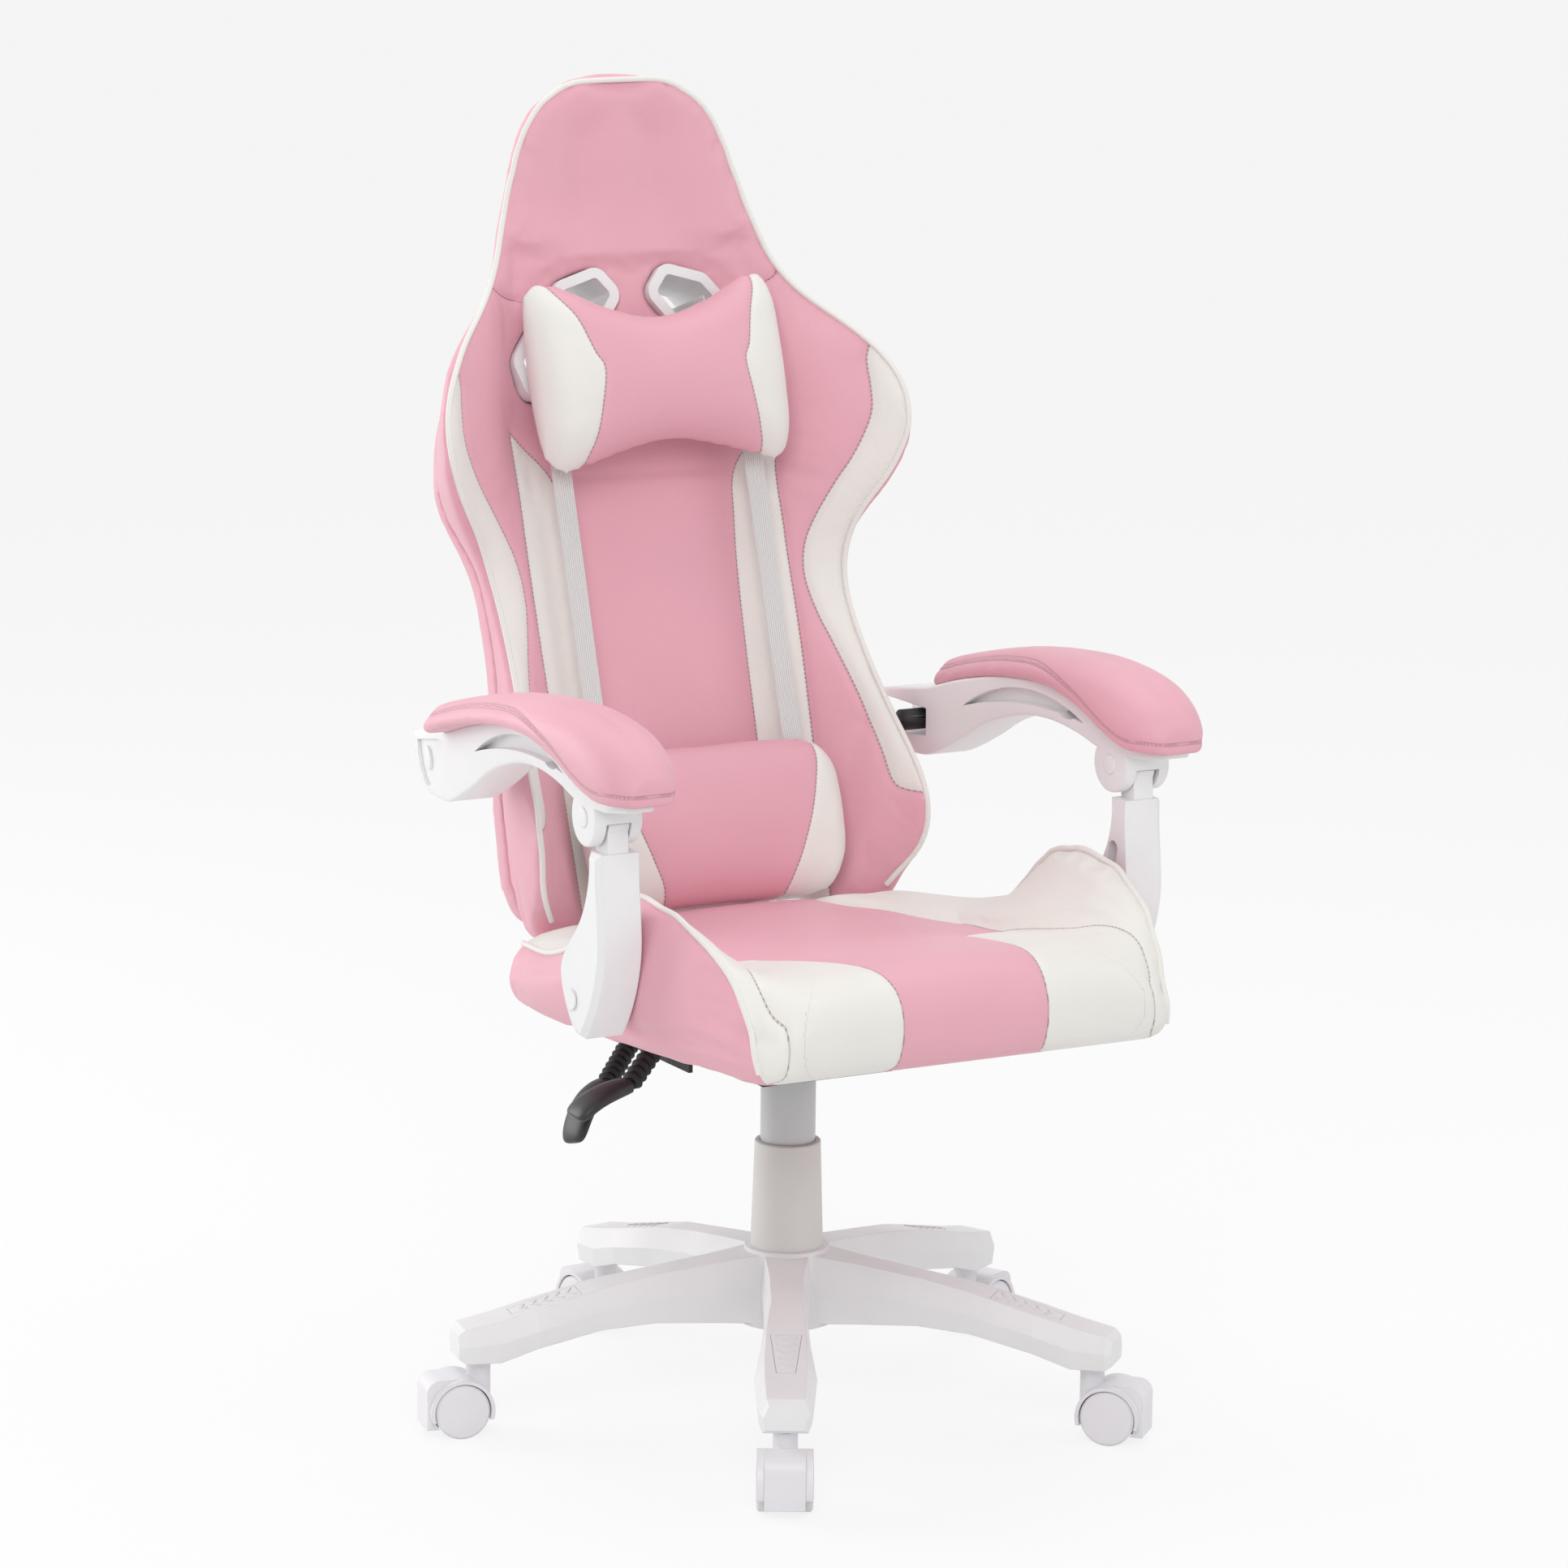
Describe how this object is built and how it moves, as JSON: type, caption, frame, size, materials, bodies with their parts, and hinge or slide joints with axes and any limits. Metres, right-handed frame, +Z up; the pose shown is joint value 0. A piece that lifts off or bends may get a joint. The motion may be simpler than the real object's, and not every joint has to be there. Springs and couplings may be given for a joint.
{
  "type": "gaming chair",
  "caption": "Winged reclining chair with a bucket seat, pillows on straps, linked arms, gas lift and a star base on swivelling twin-wheel casters.",
  "frame": {"origin": "on the floor under the gas lift's axis", "axes": "+Z up along the gas lift, the sitter faces -Y, +X to the sitter's left"},
  "size_m": [0.6567, 0.7536, 1.188],
  "materials": {
    "white_plastic": "fine moulded grain",
    "sleeve_plastic": "smooth warm grey-white",
    "caster_plastic": "smooth",
    "grey_tube": "satin powder coat",
    "steel": "plain",
    "black_steel": "black powder coat",
    "black_plastic": "satin",
    "black_rubber": "matt",
    "plywood": "raw",
    "pink_leather": "soft grained synthetic leather",
    "elastic_strap": "ribbed elastic webbing"
  },
  "bodies": {
    "base": {"star_base": "white_plastic", "leg_inserts": "white_plastic", "gas_standpipe": "grey_tube", "standpipe_bush": "black_plastic", "column_sleeve": "sleeve_plastic"},
    "gas_piston": {"gas_piston_rod": "steel"},
    "seat": {"gas_cylinder": "steel", "mechanism_housing": "black_steel", "seat_board": "plywood", "seat_cushion": "pink_leather", "seat_wing_left": "pink_leather", "seat_wing_right": "pink_leather", "seat_bolts": "steel", "recline_shaft": "steel", "lock_bolt": "steel", "arm_lower_studs": "steel"},
    "release_button": {"gas_release_button": "steel"},
    "lift_lever": {"lift_lever_rod": "black_steel", "lift_lever_bellows": "black_rubber", "lift_lever_paddle": "black_plastic"},
    "recline_lever": {"recline_lever_rod": "black_steel", "recline_lever_bellows": "black_rubber", "recline_lever_paddle": "black_plastic"},
    "back": {"back_bracket": "black_steel", "back_frame": "black_steel", "back_shell": "pink_leather", "back_cushion": "pink_leather", "back_head": "pink_leather", "back_wing_left": "pink_leather", "back_wing_right": "pink_leather", "slot_trims": "white_plastic", "back_bolts": "steel", "arm_rear_pins": "steel", "head_pillow": "pink_leather", "head_strap": "elastic_strap", "lumbar_pillow": "pink_leather", "lumbar_straps": "elastic_strap"},
    "lower_arm_left": {"lower_arm_left": "white_plastic"},
    "upper_arm_left": {"upper_arm_left": "white_plastic", "arm_pad_left": "pink_leather", "elbow_pin_left": "white_plastic"},
    "lower_arm_right": {"lower_arm_right": "white_plastic"},
    "upper_arm_right": {"upper_arm_right": "white_plastic", "arm_pad_right": "pink_leather", "elbow_pin_right": "white_plastic"},
    "caster_1": {"caster_1_hood": "caster_plastic", "caster_1_pins": "steel"},
    "caster_1_roller": {"caster_1_wheels": "caster_plastic"},
    "caster_2": {"caster_2_hood": "caster_plastic", "caster_2_pins": "steel"},
    "caster_2_roller": {"caster_2_wheels": "caster_plastic"},
    "caster_3": {"caster_3_hood": "caster_plastic", "caster_3_pins": "steel"},
    "caster_3_roller": {"caster_3_wheels": "caster_plastic"},
    "caster_4": {"caster_4_hood": "caster_plastic", "caster_4_pins": "steel"},
    "caster_4_roller": {"caster_4_wheels": "caster_plastic"},
    "caster_5": {"caster_5_hood": "caster_plastic", "caster_5_pins": "steel"},
    "caster_5_roller": {"caster_5_wheels": "caster_plastic"}
  },
  "joints": [
    {"name": "seat_swivel", "type": "hinge", "parent": "base", "child": "gas_piston", "pos_m": [0, 0, 0], "axis": [0, 0, 1], "continuous": true},
    {"name": "seat_lift", "type": "slide", "parent": "gas_piston", "child": "seat", "axis": [0, 0, 1], "range_m": [0, 0.085]},
    {"name": "back_recline", "type": "hinge", "parent": "seat", "child": "back", "pos_m": [0, 0.15, 0.39], "axis": [-1, 0, 0], "range_deg": [0, 30]},
    {"name": "lift_lever_rock", "type": "hinge", "parent": "seat", "child": "lift_lever", "pos_m": [-0.073, 0, 0.3704], "axis": [0, 1, 0], "range_deg": [0, 3], "stiffness_Nm_per_rad": 4},
    {"name": "release_press", "type": "slide", "parent": "seat", "child": "release_button", "axis": [0, 0, -1], "range_m": [0, 0.004]},
    {"name": "recline_lever_rock", "type": "hinge", "parent": "seat", "child": "recline_lever", "pos_m": [-0.073, 0.064, 0.352], "axis": [0, 1, 0], "range_deg": [0, 4], "stiffness_Nm_per_rad": 4},
    {"name": "lower_arm_left_turn", "type": "hinge", "parent": "seat", "child": "lower_arm_left", "pos_m": [0.264, -0.125, 0.437], "axis": [-1, 0, 0], "range_deg": [0, 35.5]},
    {"name": "upper_arm_left_turn", "type": "hinge", "parent": "lower_arm_left", "child": "upper_arm_left", "pos_m": [0.264, -0.15, 0.602], "axis": [-1, 0, 0], "range_deg": [-31.8, 0]},
    {"name": "lower_arm_right_turn", "type": "hinge", "parent": "seat", "child": "lower_arm_right", "pos_m": [-0.264, -0.125, 0.437], "axis": [-1, 0, 0], "range_deg": [0, 35.5]},
    {"name": "upper_arm_right_turn", "type": "hinge", "parent": "lower_arm_right", "child": "upper_arm_right", "pos_m": [-0.264, -0.15, 0.602], "axis": [-1, 0, 0], "range_deg": [-31.8, 0]},
    {"name": "caster_1_swivel", "type": "hinge", "parent": "base", "child": "caster_1", "pos_m": [-0.14059, -0.25364, 0.066], "axis": [0, 0, 1], "continuous": true},
    {"name": "caster_1_roll", "type": "hinge", "parent": "caster_1", "child": "caster_1_roller", "pos_m": [-0.15029, -0.27113, 0.025], "axis": [0.8746, -0.4848, 0], "continuous": true},
    {"name": "caster_2_swivel", "type": "hinge", "parent": "base", "child": "caster_2", "pos_m": [0.19778, -0.21209, 0.066], "axis": [0, 0, 1], "continuous": true},
    {"name": "caster_2_roll", "type": "hinge", "parent": "caster_2", "child": "caster_2_roller", "pos_m": [0.21142, -0.22672, 0.025], "axis": [0.7314, 0.682, 0], "continuous": true},
    {"name": "caster_3_swivel", "type": "hinge", "parent": "base", "child": "caster_3", "pos_m": [0.26283, 0.12256, 0.066], "axis": [0, 0, 1], "continuous": true},
    {"name": "caster_3_roll", "type": "hinge", "parent": "caster_3", "child": "caster_3_roller", "pos_m": [0.28096, 0.13101, 0.025], "axis": [-0.4226, 0.9063, 0], "continuous": true},
    {"name": "caster_4_swivel", "type": "hinge", "parent": "base", "child": "caster_4", "pos_m": [-0.03534, 0.28784, 0.066], "axis": [0, 0, 1], "continuous": true},
    {"name": "caster_4_roll", "type": "hinge", "parent": "caster_4", "child": "caster_4_roller", "pos_m": [-0.03778, 0.30769, 0.025], "axis": [-0.9925, -0.1219, 0], "continuous": true},
    {"name": "caster_5_swivel", "type": "hinge", "parent": "base", "child": "caster_5", "pos_m": [-0.28467, 0.05534, 0.066], "axis": [0, 0, 1], "continuous": true},
    {"name": "caster_5_roll", "type": "hinge", "parent": "caster_5", "child": "caster_5_roller", "pos_m": [-0.3043, 0.05915, 0.025], "axis": [-0.1908, -0.9816, 0], "continuous": true}
  ],
  "couplings": [
    {"joint": "release_press", "follows": "lift_lever_rock", "m_per_rad": 0.073},
    {"joint": "lower_arm_left_turn", "follows": "back_recline", "ratio": 1.177},
    {"joint": "upper_arm_left_turn", "follows": "back_recline", "ratio": -1.055},
    {"joint": "lower_arm_right_turn", "follows": "back_recline", "ratio": 1.177},
    {"joint": "upper_arm_right_turn", "follows": "back_recline", "ratio": -1.055}
  ]
}
